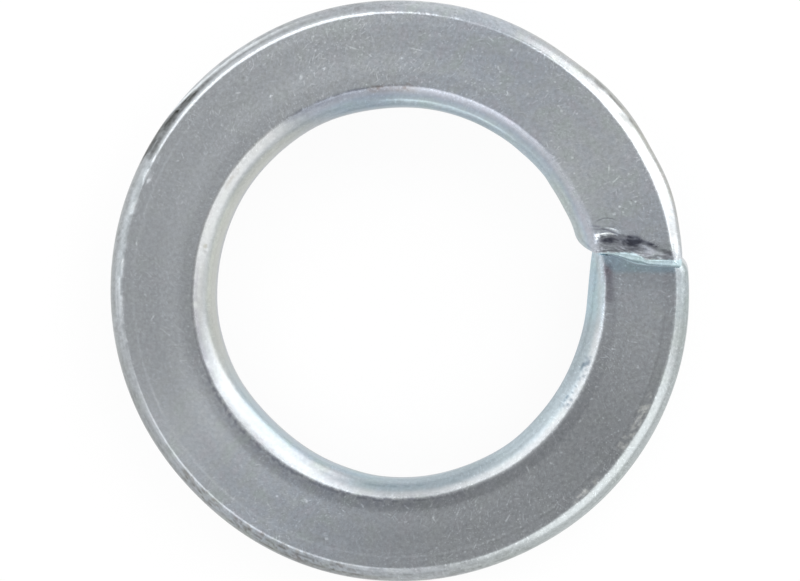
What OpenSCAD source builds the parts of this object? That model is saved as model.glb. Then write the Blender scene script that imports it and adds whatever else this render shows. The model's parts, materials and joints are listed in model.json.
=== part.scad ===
// Spring lock washer: one turn of rounded rectangular bar, coiled edgewise to the left hand
// and sheared through, so that its two ends stand one above the other.
// Millimetres. The bore axis is +Z, the split is on the +X side, and the low end rests at z = 0.

/* [Washer] */
// Bore diameter, a clearance for a 20 mm bolt
bore_d = 21.0; // [20.2:0.1:21.2]
// Radial width of the bar
bar_w = 5.9; // [5.8:0.1:6.2]
// Thickness of the bar
bar_t = 4.0; // [3.8:0.1:4.1]
// Free height over the two offset ends
free_h = 8.4; // [8.4:0.1:9.4]

/* [Bar section] */
// Radial width of the rounding at the outer wall
rim_round_w = 0.77; // [0.5:0.01:1.1]
// Depth of that rounding
rim_round_h = 1.0; // [0.6:0.05:1.3]
// How much shallower the upper one is beside the split
rim_ease = 0.4; // [0:0.05:0.4]
// Radial width of the rounding at the bore, fuller because coiling upsets the metal there
bore_round_w = 1.18; // [0.8:0.01:1.3]
// Depth of that rounding
bore_round_h = 1.15; // [0.8:0.05:1.3]
// How much shallower the upper one is where the coil was pressed, past the far side
bore_ease = 0.5; // [0:0.05:0.5]
// Width of the eased margin along both edges of each flat
margin_w = 0.7; // [0.4:0.1:1.0]
// Depth that the margin falls away before the rounding begins
margin_drop = 0.03; // [0:0.01:0.06]

/* [Sheared ends] */
// Distance by which the line of the cut misses the bore axis, over its outer part
cut_offset = 1.45; // [1.0:0.05:2.0]
// Step of that line, away from the split, over its part beside the bore
cut_step = 0.58; // [0:0.02:0.7]
// Slant of the cut under the high end, in degrees from the upright
cut_slant = 6; // [0:1:8]
// Distance by which the low end reaches in under the high one
low_reach = 0.3; // [0.1:0.05:0.5]
// Length of the high end's turned-over edge at the outer wall
turn_len = 0.35; // [0.25:0.05:0.45]
// Depth to which that edge turns over
turn_depth = 0.6; // [0.4:0.05:0.7]
// Depth of the torn strip behind it, beside the bore
tear_depth = 0.27; // [0.1:0.01:0.35]
// Plan radius of the high end's corner at the bore
high_corner_r = 1.75; // [1.2:0.05:2.0]
// Plan radius of the low end's corner at the outer wall
low_corner_r = 0.8; // [0.4:0.1:1.0]
// Distance the high end's outer wall draws in
high_draw_in = 0.35; // [0.1:0.05:0.5]
// Distance the low end's bore wall stands back
low_stand_back = 0.6; // [0.1:0.05:0.8]
// Length of bar over which those two walls taper
taper_len = 4.0; // [2:0.5:6]
// Depth to which the blade rolled the low end's lower edge
roll_depth = 0.35; // [0.1:0.05:0.5]

/* [Hidden] */

bore_r = bore_d / 2;
rim_r = bore_r + bar_w;
mid_r = bore_r + bar_w / 2;
rise = free_h - bar_t;
bar_len = 2 * PI * mid_r;
mid_angle = asin(cut_offset / mid_r);
level_len = 1.2;
roll_len = 0.9;
edge_r = 0.15;

// Least radial width left to a rounding where a wall sets back.
least_round = 0.15;

// Where round the coil the upper roundings are shallower: the angle of the middle, and the spread.
rim_ease_at = [12, 34];
bore_ease_at = [222, 26];

// The coil is swept with its inner wall this far inside the bore, and the bore is then cut true.
bore_stock = 0.06;

// The edges of the flats, and the places across them where the section has points.
flat_in = bore_r + bore_round_w;
flat_out = rim_r - rim_round_w;
across_steps = 8;
across = [for (i = [0 : across_steps]) i / across_steps];

// Spread and fall of a rounding, each from 0 to 1, as it turns from a start angle to 90 degrees.
function turning(start, steps) = [
    for (i = [1 : steps])
        let (a = start + (90 - start) * i / steps)
        [(sin(a) - sin(start)) / (1 - sin(start)), (cos(start) - cos(a)) / cos(start)]
];
rim_turn = turning(26, 5);
bore_turn = turning(22, 5);

function smooth(x) = let (c = max(0, min(1, x))) c * c * (3 - 2 * c);
function reversed(list) = [for (i = [len(list) - 1 : -1 : 0]) list[i]];

// Bell over the angle round the washer, 1 at its middle.
function bell(s, at) =
    let (off = mid_angle + 360 * s / bar_len - at[0])
    exp(-pow((off > 180 ? off - 360 : off) / at[1], 2));

// Set-back of a wall at distance d from an end face: a quarter round, and a taper that fades out.
function quarter(d, radius) = d < radius ? radius - sqrt(radius * radius - (radius - d) * (radius - d)) : 0;
function fade(d, depth, len) = d < len ? depth * pow(1 - d / len, 2) : 0;

// Bore wall, outer wall, top and bottom of the bar at distance s along it from the high end.
function bore_wall(s) = bore_r - bore_stock + quarter(s, high_corner_r) + quarter(bar_len - s, edge_r)
    + fade(bar_len - s, low_stand_back, taper_len);
function rim_wall(s) = rim_r - quarter(s, edge_r) - quarter(bar_len - s, low_corner_r)
    - fade(s, high_draw_in, taper_len);
function top(s) = bar_t - quarter(bar_len - s, edge_r);
function bottom(s) = quarter(s, edge_r) + fade(bar_len - s, roll_depth, roll_len);

// Height of the bar's underside. The bar is level at each end, so the free height is exact.
function lift(s) = rise * (1 - max(0, min(1, (s - level_len) / (bar_len - 2 * level_len))));

// Spans across the high end, from the bore outwards. What a span belongs to is whole up to its first
// distance and gone past its second: the cut's step, the turned-over edge's step, the torn strip's
// narrow start, and that strip's full depth.
step_span = [1.8, 3.3];
turn_span = [2.9, 3.8];
start_span = [1.1, 1.7];
tear_span = [2.5, 5.1];
function whole(r, span) = 1 - smooth((r - bore_r - span[0]) / (span[1] - span[0]));

// How much less the turned-over edge steps than the cut, and the least share of its depth.
turn_less = 0.2;
turn_least = 0.25;

// Torn strip: how far it reaches from the cut's outer line, how much less it does so at its start, how
// fast it closes towards the rim past a distance from the bore, and its least depth.
tear_reach = 1.67;
tear_less = 0.25;
tear_close = 0.467;
tear_close_from = 3;
tear_least = 0.05;

// Lines over the high end, as distances from the X axis at radius r: its last edge, the start of the
// turned-over edge, and the start of the torn strip, which is wide at the bore and runs out at the rim.
function edge_line(r) = cut_offset + cut_step * whole(r, step_span);
function turn_line(r) = cut_offset + turn_len + (cut_step - turn_less) * whole(r, turn_span);
function tear_line(r) =
    let (reach = tear_reach - tear_less * whole(r, start_span))
    max(turn_line(r), cut_offset + reach - tear_close * max(0, r - bore_r - tear_close_from));

// Depth by which the blade dragged down the top of the high end at radius r and distance y from the X axis.
function dragged(r, y) =
    let (turn = turn_line(r), tear = tear_line(r), width = turn - edge_line(r))
    let (strip = smooth((tear - y) / max(tear - turn, tear_least)))
    let (torn = tear_least + (tear_depth - tear_least) * whole(r, tear_span))
    let (over = max(0, min(1, (turn - y) / width)))
    let (depth = turn_depth * (turn_least + (1 - turn_least) * width / turn_len))
    torn * strip + depth * (1 - sqrt(1 - over * over));

// Angle at which the slanted line of the cut crosses radius r at height z of the bar, s along it.
function cut_angle(r, z, s) =
    asin((edge_line(r) + low_reach * s / bar_len + (bar_t - z) * tan(cut_slant)) / r);

// A section point in its place on the coil, no higher than the top that the blade left.
function place(p, s) =
    let (a = cut_angle(p.x, p.y, s) + 360 * s / bar_len)
    let (z = s < drag_len ? min(p.y, bar_t - dragged(p.x, p.x * sin(a))) : p.y)
    [p.x * cos(a), p.x * sin(a), lift(s) + z];

// Ring of points round the bar: top flat, rim, underside, bore.
function flat_points(fi, fo, z, fall) = concat(
    [[fi, z - fall]],
    [for (t = across) [fi + margin_w + t * (fo - fi - 2 * margin_w), z]],
    [[fo, z - fall]]
);
function rounding(turn, edge, wall, z, h) = [for (p = turn) [edge + p.x * (wall - edge), z - p.y * h]];
function ring(s) =
    let (bw = bore_wall(s), rw = rim_wall(s), zt = top(s), zb = bottom(s))
    let (fi = max(flat_in, bw + least_round), fo = min(flat_out, rw - least_round))
    let (rim_h = rim_round_h - rim_ease * bell(s, rim_ease_at))
    let (bore_h = bore_round_h - bore_ease * bell(s, bore_ease_at))
    let (points = concat(
        flat_points(fi, fo, zt, margin_drop),
        rounding(rim_turn, fo, rw, zt - margin_drop, rim_h),
        reversed(rounding(rim_turn, fo, rw, zb + margin_drop, -rim_round_h)),
        reversed(flat_points(fi, fo, zb, -margin_drop)),
        rounding(bore_turn, fi, bw, zb + margin_drop, -bore_round_h),
        reversed(rounding(bore_turn, fi, bw, zt - margin_drop, bore_h))
    ))
    [for (p = points) place(p, s)];

// Distances along the bar of the rings: close together over each end, and even between them.
drag_len = 3;
high_steps = 18;
coil_steps = 96;
low_steps = 7;
low_len = 2;
stations = concat(
    [for (i = [0 : high_steps - 1]) drag_len * pow(i / high_steps, 1.5)],
    [for (i = [0 : coil_steps]) drag_len + (bar_len - drag_len - low_len) * i / coil_steps],
    [for (i = [low_steps - 1 : -1 : 0]) bar_len - low_len * pow(i / low_steps, 2)]
);

// End face over the ring's points: a strip between the two flats, and a fan at each rounded side.
m = across_steps + 3;
k = len(rim_turn);
n = 2 * m + 4 * k;
function end_face(first) = concat(
    [
        for (i = [0 : m - 2])
            let (a = i, b = i + 1, c = 2 * m + 2 * k - 2 - i, d = c + 1)
            each [[first + a, first + c, first + b], [first + a, first + d, first + c]]
    ],
    [for (i = [m : m + 2 * k - 1]) [first + m - 1, first + i + 1, first + i]],
    [for (i = [0 : 2 * k - 1]) let (j = 2 * m + 2 * k - 1 + i) [first, first + j + 1, first + j]]
);
function flipped(faces) = [for (f = faces) [f.x, f.z, f.y]];

// Closed solid through the rings.
module coil() {
    last = (len(stations) - 1) * n;
    polyhedron(
        points = [for (s = stations) each ring(s)],
        faces = concat(
            flipped(end_face(0)),
            end_face(last),
            [
                for (row = [0 : n : last - n], i = [0 : n - 1])
                    let (j = (i + 1) % n)
                    each [[row + i, row + n + j, row + j], [row + i, row + n + i, row + n + j]]
            ]
        ),
        convexity = 6
    );
}

// True cylinder for the bore, turned so that its seam lies in the split.
module bore() {
    clear = 1;
    translate([0, 0, -clear])
        rotate([0, 0, cut_angle(bore_r, bar_t / 2, 0)])
            cylinder(r = bore_r, h = free_h + 2 * clear, $fn = 180);
}

module lock_washer() {
    color("#a9b2b8")
        difference() {
            coil();
            bore();
        }
}

lock_washer();
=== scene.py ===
"""A spring lock washer: one left-hand turn of rounded bar, sheared through, zinc plated and tumbled.

Laid out as an add-on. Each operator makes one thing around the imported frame: the coil, then the stage.
Properties hold lengths in metres. Functions work in millimetres, which become metres as things are put
into the scene.
"""

import json
import math

import bpy
import numpy as np
from bpy.props import FloatProperty, FloatVectorProperty, PointerProperty
from mathutils import Matrix, Vector


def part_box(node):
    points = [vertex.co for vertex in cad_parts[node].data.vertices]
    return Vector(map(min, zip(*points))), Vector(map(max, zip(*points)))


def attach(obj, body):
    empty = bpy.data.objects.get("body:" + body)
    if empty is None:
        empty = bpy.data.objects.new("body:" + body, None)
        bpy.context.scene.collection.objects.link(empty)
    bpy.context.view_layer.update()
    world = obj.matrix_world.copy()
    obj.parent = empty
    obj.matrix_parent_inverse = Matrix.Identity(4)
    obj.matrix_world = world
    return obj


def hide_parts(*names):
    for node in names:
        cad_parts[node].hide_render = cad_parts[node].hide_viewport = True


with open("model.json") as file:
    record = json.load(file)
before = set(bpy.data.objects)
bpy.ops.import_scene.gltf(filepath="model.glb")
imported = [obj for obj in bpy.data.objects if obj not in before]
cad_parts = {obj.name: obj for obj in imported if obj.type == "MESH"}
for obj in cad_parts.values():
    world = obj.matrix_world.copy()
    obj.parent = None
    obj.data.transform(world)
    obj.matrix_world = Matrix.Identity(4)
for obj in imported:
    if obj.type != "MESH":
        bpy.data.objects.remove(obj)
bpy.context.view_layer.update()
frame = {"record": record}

bl_info = {
    "name": "Spring lock washer",
    "version": (1, 0, 0),
    "blender": (4, 5, 0),
    "location": "3D View > Sidebar > Washer",
    "description": "Builds a zinc-plated spring lock washer and its plain studio",
    "category": "Add Mesh",
}

MM = 0.001
NODE = "lock_washer"


def cad_sizes():
    """Bore, bar width and free height in millimetres, read from the frame's record and the node's box."""
    low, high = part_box(NODE)
    bore = next(m for m in frame["record"]["mounts"] if m["name"] == "bore")
    bore_r = bore["dims"]["r_mm"]
    rim_r = (high[0] - low[0]) / 2 / MM
    return 2 * bore_r, rim_r - bore_r, (high[2] - low[2]) / MM


BORE_D, BAR_W, FREE_H = cad_sizes()


def linear(hex_colour):
    """An sRGB hex colour as a linear RGBA tuple."""
    channels = [int(hex_colour[i : i + 2], 16) / 255 for i in (1, 3, 5)]
    return tuple(c / 12.92 if c <= 0.04045 else ((c + 0.055) / 1.055) ** 2.4 for c in channels) + (1.0,)


# ---------------------------------------------------------------- sizes and colours


def length_property(name, description, default, low, high):
    """A length property, given here in millimetres and held in metres."""
    default, low, high = default * MM, low * MM, high * MM
    return FloatProperty(
        name=name, description=description, unit="LENGTH", precision=5, default=default, min=low, max=high
    )


def colour_property(name, description, hex_colour):
    """A colour property, given here as sRGB hex and held as linear."""
    colour = linear(hex_colour)
    return FloatVectorProperty(
        name=name, description=description, subtype="COLOR", size=4, default=colour, min=0, max=1
    )


class WasherSizes(bpy.types.PropertyGroup):
    """Sizes of the washer."""

    bore_d: length_property("Bore", "Bore diameter", BORE_D, 20.2, 21.2)
    bar_w: length_property("Bar width", "Radial width of the bar", BAR_W, 5.8, 6.2)
    bar_t: length_property("Bar thickness", "Thickness of the bar", 4.0, 3.8, 4.2)
    free_h: length_property("Free height", "Height over both ends", FREE_H, 8.0, 9.4)
    outer_shoulder: length_property("Outer shoulder", "Width of the rounding at the rim", 0.77, 0.4, 1.2)
    bore_shoulder: length_property("Bore shoulder", "Width of the rounding at the bore", 1.18, 0.6, 1.4)
    margin: length_property("Margin", "Width of the eased margin on each flat", 0.7, 0.3, 1.0)


class ZincFinish(bpy.types.PropertyGroup):
    """Colours of the plated surface."""

    zinc: colour_property("Zinc", "Plain zinc plating", "#bdc1c4")
    blue: colour_property("Blue passivation", "Where the passivation film is thicker", "#bbc1c6")
    rose: colour_property("Rose passivation", "Where the film turns to rose", "#bec0c5")
    green: colour_property("Green passivation", "Where the film turns to green", "#bbc2c1")


class StageSettings(bpy.types.PropertyGroup):
    """The studio's floor and camera."""

    floor: colour_property("Floor", "Floor colour", "#ffffff")
    camera_distance: length_property("Camera distance", "From the washer to the camera", 165.0, 60.0, 400.0)
    camera_lean: FloatProperty(
        name="Camera lean",
        description="Angle by which the camera stands off the bore axis",
        subtype="ANGLE",
        default=math.radians(6),
        min=0,
        max=math.radians(20),
    )


# ---------------------------------------------------------------- arrays


def smooth(x):
    """Smoothstep: 0 below 0, 1 above 1, 3x^2 - 2x^3 between."""
    x = np.clip(x, 0.0, 1.0)
    return x * x * (3.0 - 2.0 * x)


def window(x, low, high, soft):
    """1 between low and high, and 0 outside them, with edges that take the length soft."""
    return smooth((x - low) / soft + 0.5) * smooth((high - x) / soft + 0.5)


def turn_bump(angle, centre, width):
    """Gaussian bell on an angle in degrees, which wraps at 360: exp(-(off / width)^2)."""
    off = (angle - centre + 180.0) % 360.0 - 180.0
    return np.exp(-((off / width) ** 2))


def turn_sum(angle, bumps):
    """Sum of bells round the turn, each given as (amount, centre, width)."""
    return sum(amount * turn_bump(angle, centre, width) for amount, centre, width in bumps)


def inner(r, last, length):
    """1 over the bar's inner part, out to the radius last, and 0 from last + length on, by smoothstep."""
    return 1 - smooth((r - last) / length)


def oval(u, v, half_long, half_wide, lean):
    """Squared distance from an ellipse's middle, 1 at its edge, for offsets u, v.

    Lean turns its long axis, in degrees.
    """
    c, d = math.cos(math.radians(lean)), math.sin(math.radians(lean))
    return ((u * c + v * d) / half_long) ** 2 + ((v * c - u * d) / half_wide) ** 2


def cells(u, v, seed):
    """Smooth value noise from 0 to 1: random values at whole (u, v), blended by smoothstep between them."""
    size = 1024
    table = np.random.default_rng(seed).random((size, size))
    iu, iv = np.floor(u).astype(int), np.floor(v).astype(int)
    fu, fv = smooth(u - iu), smooth(v - iv)
    a, b = table[iu % size, iv % size], table[(iu + 1) % size, iv % size]
    c, d = table[iu % size, (iv + 1) % size], table[(iu + 1) % size, (iv + 1) % size]
    return (a * (1 - fu) + b * fu) * (1 - fv) + (c * (1 - fu) + d * fu) * fv


# ---------------------------------------------------------------- the coil

# Bells round the turn: amount in mm, centre and width in degrees. The split is near 8 degrees. Both walls and
# both edges of the flats wave a little, and the upper shoulders are shallower in places.
BORE_ROUND = [
    (0.12, 19, 9), (-0.06, 22, 4.5), (0.045, 33.5, 3), (0.07, 41, 7), (-0.045, 43, 4), (-0.06, 92, 14),
    (0.05, 110, 12), (0.025, 140, 12), (0.07, 185, 38), (0.045, 182, 9), (0.04, 200, 10), (-0.11, 219, 16),
    (0.025, 255, 6), (0.09, 266, 18), (0.05, 300, 12), (-0.02, 312, 9), (0.09, 354, 12),
]
RIM_ROUND = [
    (-0.075, 15.5, 4.5), (0.035, 25, 5), (-0.03, 32, 4), (-0.04, 35, 40), (0.07, 41, 9), (-0.05, 54.5, 5),
    (-0.05, 61, 10), (-0.04, 90, 10), (0.03, 190, 30), (-0.06, 226, 14), (0.02, 256, 10), (-0.055, 296, 14),
    (-0.04, 362, 12),
]
BORE_EDGE = [(-0.04, 22, 14), (-0.08, 66, 26), (-0.21, 112, 34), (-0.16, 162, 28), (0.10, 315, 26)]
RIM_EDGE = [(-0.03, 120, 40), (0.02, 215, 20), (-0.07, 320, 24)]
BORE_SHALLOW = [(-0.38, 222, 26), (-0.15, 320, 20)]
RIM_SHALLOW = [(-0.42, 12, 34)]

# Angles in degrees at which the upper and the lower shoulder begin, and a bell by which the bore's upper one
# begins steeper where the coil was pressed
RIM_STARTS = (26, 24)
BORE_STARTS = (22, 18)
PRESSED = [(24, 222, 26)]

START_ANGLE = 7.6  # degrees round from +X, where the bar's middle nominally begins
LEVEL_LEN = 1.2  # mm of bar that is level at each end

# Stations along the bar: mm of bar beside each cut where they are close, how many there are over the high
# end, the body and the low end, and the power that crowds them towards the cuts
NEAR_HIGH, NEAR_LOW = 3.6, 2.0
HIGH_STEPS, BODY_STEPS, LOW_STEPS = 130, 846, 34
CROWDING = 1.6

# Plan radii in mm of each end's corners, at the bore and at the rim
HIGH_CORNERS = (1.45, 0.18)
LOW_CORNERS = (0.2, 0.7)

# Depth, and the length of bar over which it fades, in mm: the high end's rim wall draws in, the low end's
# bore wall stands back, and the blade rolled the low end's lower edge
DRAW_IN = (0.30, 3.0)
STAND_BACK = (0.6, 4.0)
ROLLED = (0.35, 0.9)

EDGE_R = 0.15  # mm, rounding of the other level edges of the ends
LEAST_SHOULDER = 0.15  # mm of shoulder that stays where a wall sets back
RIM_DEPTH, BORE_DEPTH = 1.0, 1.15  # mm by which the shoulders fall
MARGIN_FALL = 0.03  # mm by which a margin falls away before its shoulder begins
WALL_STEPS = np.linspace(0, 1, 6)[None, 1:-1]


class Coil:
    """The washer's form in mm: a section carried along a left-hand helix, cut through at both ends."""

    def __init__(self, sizes):
        self.bore_r = sizes.bore_d / MM / 2
        self.rim_r = self.bore_r + sizes.bar_w / MM
        self.mid_r = (self.bore_r + self.rim_r) / 2
        self.t = sizes.bar_t / MM
        self.rise = sizes.free_h / MM - self.t
        self.length = 2 * math.pi * self.mid_r
        self.outer_shoulder = sizes.outer_shoulder / MM
        self.bore_shoulder = sizes.bore_shoulder / MM
        self.margin = sizes.margin / MM

    def stations(self):
        """Distances along the bar from the high end: close beside both cuts and even between them."""
        high = NEAR_HIGH * np.linspace(0, 1, HIGH_STEPS, endpoint=False) ** CROWDING
        low = self.length - NEAR_LOW * np.linspace(0, 1, LOW_STEPS) ** CROWDING
        body = np.linspace(NEAR_HIGH, self.length - NEAR_LOW, BODY_STEPS, endpoint=False)
        return np.concatenate([high, body, low[::-1]])[:, None]

    def angle(self, s):
        """Degrees round from +X at the middle of the bar."""
        return START_ANGLE + 360 * s / self.length

    def lift(self, s):
        """Height of the bar's underside: level over each end and falling evenly between them."""
        return self.rise * (1 - np.clip((s - LEVEL_LEN) / (self.length - 2 * LEVEL_LEN), 0, 1))


def quarter(d, radius):
    """Set-back of a quarter round at distance d from an end: radius - sqrt(radius^2 - (radius - d)^2)."""
    x = np.clip(radius - d, 0, radius)
    return radius - np.sqrt(np.maximum(radius**2 - x**2, 0))


def fade(d, depth, length):
    """Set-back that falls from depth to nothing over length: depth (1 - d / length)^2."""
    return depth * np.clip(1 - d / length, 0, 1) ** 2


def arc(start, count):
    """Spread and fall of a shoulder, each from 0 to 1, as it turns from the start angle to 90 degrees.

    spread = (sin a - sin start) / (1 - sin start) and fall = (cos start - cos a) / cos start.
    """
    a0 = np.radians(np.reshape(start, (-1, 1)))
    a = a0 + (np.pi / 2 - a0) * np.linspace(0, 1, count)[None, 1:]
    return (np.sin(a) - np.sin(a0)) / (1 - np.sin(a0)), (np.cos(a0) - np.cos(a)) / np.cos(a0)


def walls(coil, s):
    """Bore wall, rim wall and the two edges of the flats, as radii at the distances s."""
    start, end, angle = s, coil.length - s, coil.angle(s)
    bore = coil.bore_r + turn_sum(angle, BORE_ROUND)
    bore += quarter(start, HIGH_CORNERS[0]) + quarter(end, LOW_CORNERS[0]) + fade(end, *STAND_BACK)
    rim = coil.rim_r + turn_sum(angle, RIM_ROUND)
    rim -= quarter(start, HIGH_CORNERS[1]) + quarter(end, LOW_CORNERS[1]) + fade(start, *DRAW_IN)
    worn = 0.012 * (cells(s / 0.9, 0 * s, 21) + cells(s / 0.5, 0 * s, 22) - 1)
    flat_in = coil.bore_r + coil.bore_shoulder + turn_sum(angle, BORE_EDGE) + 2 * worn
    flat_out = coil.rim_r - coil.outer_shoulder + turn_sum(angle, RIM_EDGE) - worn
    return bore, rim, np.maximum(flat_in, bore + LEAST_SHOULDER), np.minimum(flat_out, rim - LEAST_SHOULDER)


def bar_section(coil, s):
    """Section points as radii and heights [station, point], run clockwise from the top flat's bore edge.

    Each flat has a margin along both edges that falls away by about 2.5 degrees. Shoulders follow arc(), from
    the flat's edge to the wall, so each begins at a crisp angle where the rolls closed on the bar.
    """
    bore, rim, flat_in, flat_out = walls(coil, s)
    angle = coil.angle(s)
    top = coil.t - quarter(coil.length - s, EDGE_R)
    low = quarter(s, EDGE_R) + fade(coil.length - s, *ROLLED)
    rim_drop = RIM_DEPTH + turn_sum(angle, RIM_SHALLOW)
    bore_drop = BORE_DEPTH + turn_sum(angle, BORE_SHALLOW)
    high_z, low_z = top - MARGIN_FALL, low + MARGIN_FALL
    bore_start = BORE_STARTS[0] + turn_sum(angle, PRESSED)

    def flat(face, sign, in_margin, middle, out_margin):  # the last three count the points across
        a = flat_in + coil.margin * np.linspace(0, 1, in_margin)[None, :]
        c = flat_out - coil.margin * np.linspace(1, 0, out_margin)[None, :]
        b = a[:, -1:] + (c[:, :1] - a[:, -1:]) * np.linspace(0, 1, middle + 2)[None, 1:-1]
        r = np.concatenate([a, b, c], axis=1)
        off_in = np.clip(1 - (r - flat_in) / coil.margin, 0, 1)
        off_out = np.clip(1 - (flat_out - r) / coil.margin, 0, 1)
        return r, face - sign * MARGIN_FALL * (off_in + off_out)

    def shoulder(edge, wall_r, from_z, drop, turn):
        spread, fall = turn
        return edge + spread * (wall_r - edge), from_z - fall * drop

    def wall(r, from_z, to_z):
        return r + 0 * WALL_STEPS, from_z + WALL_STEPS * (to_z - from_z)

    def backwards(stretch):
        return tuple(part[:, ::-1] for part in stretch)

    stretches = [
        flat(top, 1, in_margin=8, middle=21, out_margin=7),
        shoulder(flat_out, rim, high_z, rim_drop, arc(RIM_STARTS[0], 13)),
        wall(rim, high_z - rim_drop, low_z + rim_drop),
        backwards(shoulder(flat_out, rim, low_z, -rim_drop, arc(RIM_STARTS[1], 9))),
        backwards(flat(low, -1, in_margin=3, middle=3, out_margin=3)),
        shoulder(flat_in, bore, low_z, -BORE_DEPTH, arc(BORE_STARTS[1], 9)),
        wall(bore, low_z + BORE_DEPTH, high_z - bore_drop),
        backwards(shoulder(flat_in, bore, high_z, bore_drop, arc(bore_start, 15))),
    ]
    return tuple(np.concatenate(parts, axis=1) for parts in zip(*stretches))


# ---------------------------------------------------------------- the sheared ends

CUT_SLANT = math.radians(6)
LOW_REACH = 0.3  # mm by which the low end reaches in under the high one
DRAWN_OUT = 0.26  # mm by which the low end's corner at the rim was drawn out

# Lines over the high end, as distances from the X axis in mm: each at mid bar, and its step beside the bore
EDGE_AT, EDGE_STEP = 1.37, 0.62
LIP_AT, LIP_STEP = 1.82, 0.40
TEAR_AT, TEAR_STEP = 3.17, -0.25
TEAR_CLOSE = 0.404  # mm by which the torn strip narrows with each mm towards the rim
FOLD_AT = 4.07  # mm from the X axis, where the fold in the crumpled flat is furthest from it


def high_edge(r):
    """The high end's last edge: nearly straight in from the rim, and then a step back beside the bore."""
    return EDGE_AT + EDGE_STEP * inner(r, 12.1, 1.6) - 0.07 * smooth((r - 13.8) / 1.6)


def lip_edge(r):
    """Where the rounding of the high end begins."""
    return LIP_AT + LIP_STEP * inner(r, 13.4, 0.9)


def tear_edge(r):
    """Where the torn strip behind that rounding begins: wide near the bore and running out at the rim."""
    return TEAR_AT + TEAR_STEP * inner(r, 11.6, 0.6) - TEAR_CLOSE * np.clip(r - 13.2, 0, 2.85)


def fold_bell(r, y, width):
    """Bell of that width across a short fold that bows away from the cut: y = FOLD_AT - (r - 12.55)^2 / 2."""
    off = y + 0.5 * (r - 12.55) ** 2 - FOLD_AT
    return np.exp(-((off / width) ** 2)) * window(r, 11.95, 12.95, 0.3)


def cut_line(coil, r, z, s):
    """Distance by which the cut's line passes the axis: high_edge(r), slanted back downwards.

    The low end reaches in further, and most at its corner at the rim.
    """
    drawn_out = DRAWN_OUT * smooth((r - 15.5) / 0.6) * smooth((s - coil.length) / 4.0 + 1)
    return high_edge(r) + LOW_REACH * s / coil.length + (coil.t - z) * math.tan(CUT_SLANT) + drawn_out


def place(coil, r, z, s):
    """Section points in place: turned by asin(cut_line / r) + 360 s / length, and lifted by lift(s)."""
    a = np.arcsin(cut_line(coil, r, z, s) / r) + 2 * np.pi * s / coil.length
    return np.stack([r * np.cos(a), r * np.sin(a), coil.lift(s) + z], axis=-1)


def sheared_fall(r, y):
    """Depth by which the high end's top has been dragged down at (r, y).

    The torn strip falls by smoothstep from tear_edge to lip_edge. From there to the last edge the metal turns
    over like the quarter of an ellipse. Behind the strip the flat is crumpled where the blade bruised it.
    """
    lip, tear, edge = lip_edge(r), tear_edge(r), high_edge(r)
    strip = smooth((tear - y) / np.maximum(tear - lip, 0.05))
    depth = 0.05 + 0.22 * inner(r, 13.0, 2.6)
    turned = np.clip((lip - y) / (lip - edge), 0, 1)
    turn_over = (0.15 + 1.3 * (lip - edge)) * (1 - np.sqrt(1 - turned**2))
    torn = strip * (1 - np.minimum(2.5 * turned, 1)) * (1 - 0.6 * smooth((r - 14.0) / 0.8))
    rough = 0.04 * (cells(y / 0.16, r / 0.24, 31) - 0.5) + 0.03 * (cells(y / 0.07, r / 0.11, 32) - 0.5)
    bruise = window(r, 11.7, 13.0, 0.5) * window(y, 3.2, 3.7, 0.3)
    crumple = 0.03 * (cells((y + 0.15 * r) / 0.16, r / 0.35, 33) - 0.5) * bruise
    crest = 0.05 * np.exp(-(((y - tear - 0.05) / 0.06) ** 2)) * window(r, 11.6, 13.0, 0.3)
    return depth * strip + turn_over + rough * torn + crumple + 0.008 * fold_bell(r, y, 0.035) - crest


# Small dents, and two burrs, whose depth is below 0: angle in degrees, mm out from the flat's bore edge, half
# length and half width in mm, lean of the long axis in degrees, and depth in mm
DENTS = [
    (14.9, 0.13, 0.14, 0.12, 0, -0.050),
    (15.2, 0.56, 0.28, 0.05, 101, -0.020),
    (155.2, 3.98, 0.26, 0.12, 6, 0.045),
    (150.6, 4.02, 0.16, 0.08, 0, 0.020),
    (125.0, 3.20, 0.10, 0.10, 0, 0.03),
    (145.0, -0.22, 0.50, 0.08, 12, 0.020),
    (167.4, -0.42, 0.11, 0.09, 0, 0.03),
    (253.2, 2.75, 0.12, 0.10, 0, 0.03),
    (245.8, 1.30, 0.10, 0.10, 30, 0.03),
    (312.6, 3.70, 0.40, 0.12, 0, 0.02),
    (333.0, 3.70, 0.60, 0.12, 6, 0.02),
]
DENT_R = 13.5  # mm, the radius at which a dent's angle becomes a length


def dent_fall(angle, across):
    """Depth of the dents at an angle and a distance across the flat, each an elliptical bell: exp(-oval)."""
    total = 0
    for centre, offset, half_long, half_wide, lean, depth in DENTS:
        along = np.radians((angle - centre + 180) % 360 - 180) * DENT_R
        total = total + depth * np.exp(-oval(along, across - offset, half_long, half_wide, lean))
    return total


def polar(coil, s, points):
    """Degrees round from +X of each point, counted on past 360 over the bar's low end."""
    nominal = coil.angle(s)
    return nominal + (np.degrees(np.arctan2(points[..., 1], points[..., 0])) - nominal + 180) % 360 - 180


def coil_surface(coil):
    """The washer's surface [station, point, xyz] in mm, with its stations and section points.

    The high end's top goes no higher than the blade left it, and the dents are pressed into the upper side.
    """
    s = coil.stations()
    r, z = bar_section(coil, s)
    limit = coil.t - sheared_fall(r, place(coil, r, z, s)[..., 1])
    z = np.where(s < NEAR_HIGH, np.minimum(z, limit), z)
    points = place(coil, r, z, s)
    flat_in = walls(coil, s)[2]
    points[..., 2] -= smooth(z - 0.4 * coil.t) * dent_fall(polar(coil, s, points), r - flat_in)
    return s, r, z, points


END_LOOPS = 9  # rings of points over each sheared face
LOOP_STEP = 0.2  # mm by which the plating's patterns run on from ring to ring
CUT_METAL = (0.42, 0.5, 0.2)  # tooth, wear and film of a sheared face


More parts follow.
